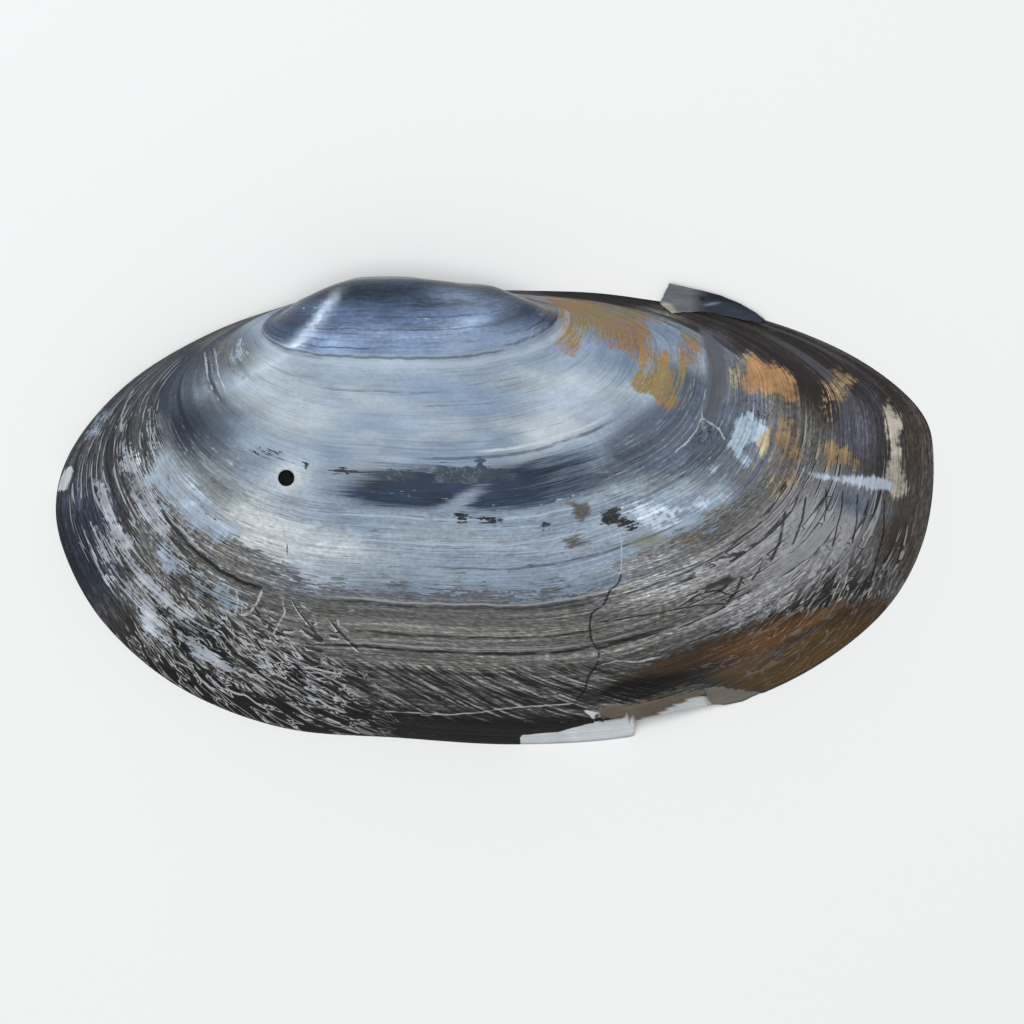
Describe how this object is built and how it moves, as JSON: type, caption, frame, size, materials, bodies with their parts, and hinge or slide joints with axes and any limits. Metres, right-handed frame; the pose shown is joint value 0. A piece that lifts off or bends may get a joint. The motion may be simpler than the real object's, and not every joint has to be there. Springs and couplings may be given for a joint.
{
  "type": "freshwater mussel shell valve",
  "caption": "Left valve of a large freshwater mussel: a long oval domed shell with a low beak, growth rings, a drilled hole, a flat rim and a toothless hinge plate.",
  "frame": {"origin": "centre of the bounding box on the plane of the shell's margin, which is the plane it rests on", "axes": "+X towards the shell's back end, +Y towards the hinge and the beak, +Z out of the domed outside"},
  "size_m": [0.1198, 0.0638, 0.0213],
  "materials": {
    "shell": "slate blue and white worn shell under a satin dark brown skin that is wrinkled and flaking near the margin"
  },
  "bodies": {
    "root": {"valve": "shell"}
  },
  "joints": []
}
